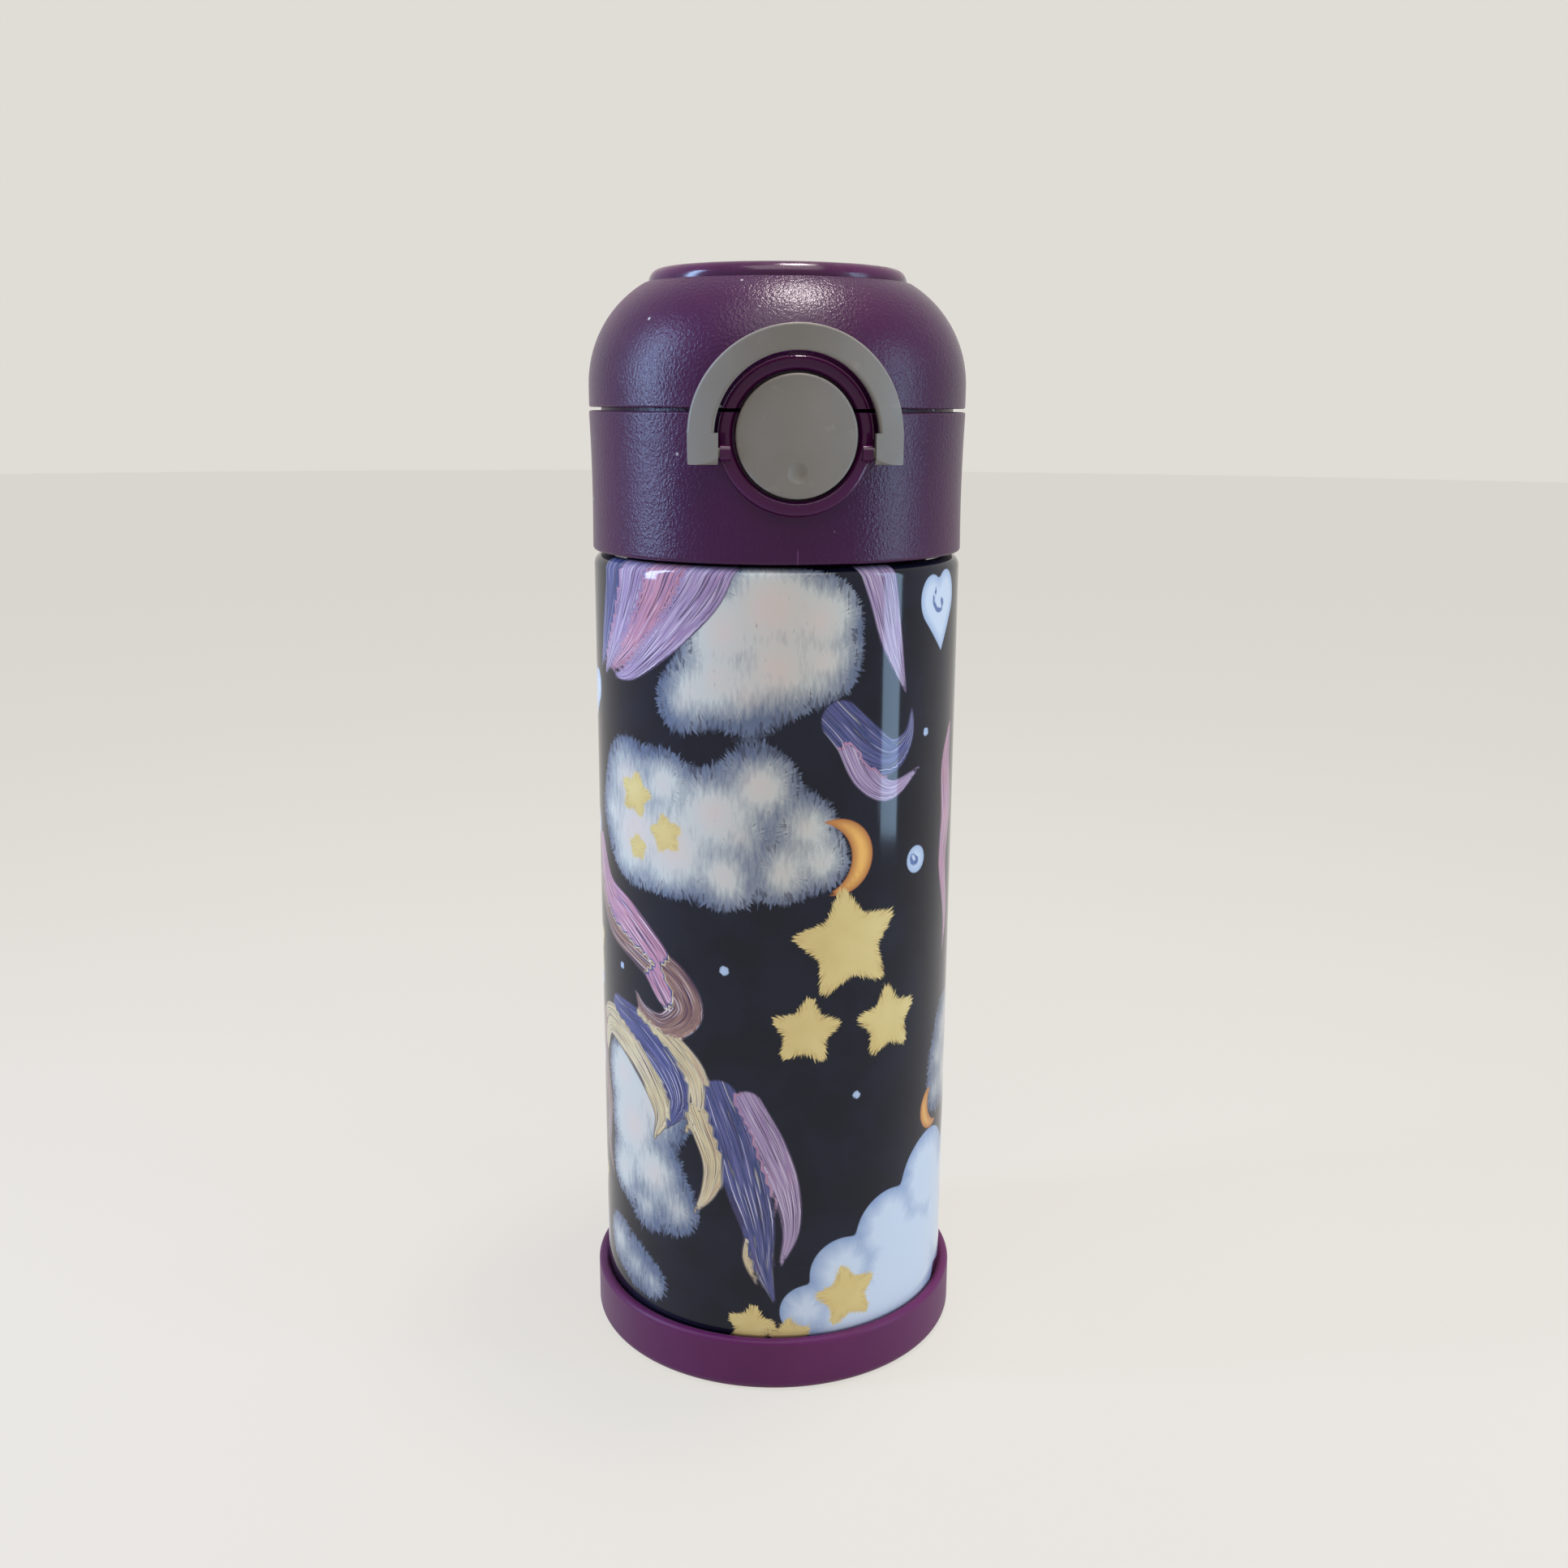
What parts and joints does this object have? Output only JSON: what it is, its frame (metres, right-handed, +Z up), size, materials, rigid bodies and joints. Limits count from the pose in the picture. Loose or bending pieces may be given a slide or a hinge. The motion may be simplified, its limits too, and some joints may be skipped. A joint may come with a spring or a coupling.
{
  "type": "kids water bottle",
  "caption": "Small vacuum flask with a soft foot, a printed wall and a domed flip-up lid with push button, swing lock and carry ring.",
  "frame": {"origin": "middle of the foot's underside, on the bottle's axis, at the height of the surface it stands on", "axes": "+Z up along the bottle, the push button faces -Y and the lid's hinge is on +Y"},
  "size_m": [0.07, 0.0736, 0.1982],
  "materials": {
    "boot_silicone": "satin magenta-purple silicone",
    "printed_coat": "glossy dark navy coat with a pastel print",
    "steel": "brushed stainless steel",
    "getter_metal": "sintered grey metal",
    "lid_plastic": "finely textured satin purple plastic",
    "ring_plastic": "polished purple plastic",
    "grey_plastic": "satin warm grey plastic",
    "inner_plastic": "satin light grey polypropylene",
    "seal_silicone": "milky food-grade silicone",
    "pin_steel": "drawn stainless wire"
  },
  "bodies": {
    "bottle": {"base_boot": "boot_silicone", "base_plate": "steel", "outer_shell": "printed_coat", "inner_flask": "steel", "getter": "getter_metal"},
    "lid_gasket": {"neck_gasket": "seal_silicone"},
    "lid": {"thread_insert": "inner_plastic", "collar": "lid_plastic", "spout": "inner_plastic", "spout_o_ring": "seal_silicone", "hinge_pin": "pin_steel", "hinge_spring": "pin_steel", "button_spring": "pin_steel"},
    "cap": {"cap_shell": "lid_plastic", "cap_liner": "inner_plastic", "cap_seal": "seal_silicone", "ring_pin": "pin_steel"},
    "carry_ring": {"carry_ring": "ring_plastic"},
    "lock_bail": {"lock_bail": "grey_plastic"},
    "button": {"button": "grey_plastic", "latch_hook": "inner_plastic"}
  },
  "joints": [
    {"name": "lid_lift", "type": "slide", "parent": "bottle", "child": "lid_gasket", "axis": [0, 0, 1], "range_m": [0, 0.045]},
    {"name": "lid_turn", "type": "hinge", "parent": "lid_gasket", "child": "lid", "pos_m": [0, 0, 0.165], "axis": [0, 0, 1], "continuous": true},
    {"name": "cap_hinge", "type": "hinge", "parent": "lid", "child": "cap", "pos_m": [0, 0.0342, 0.1745], "axis": [-1, 0, 0], "range_deg": [0, 115], "deforming": ["hinge_spring"]},
    {"name": "ring_hinge", "type": "hinge", "parent": "cap", "child": "carry_ring", "pos_m": [0, 0.0204, 0.196], "axis": [-1, 0, 0], "range_deg": [0, 100]},
    {"name": "bail_hinge", "type": "hinge", "parent": "lid", "child": "lock_bail", "pos_m": [0, -0.0328, 0.1679], "axis": [1, 0, 0], "range_deg": [0, 150]},
    {"name": "button_press", "type": "slide", "parent": "lid", "child": "button", "axis": [0, 1, 0], "range_m": [0, 0.0012], "stiffness_N_per_m": 800, "deforming": ["button_spring"]}
  ]
}
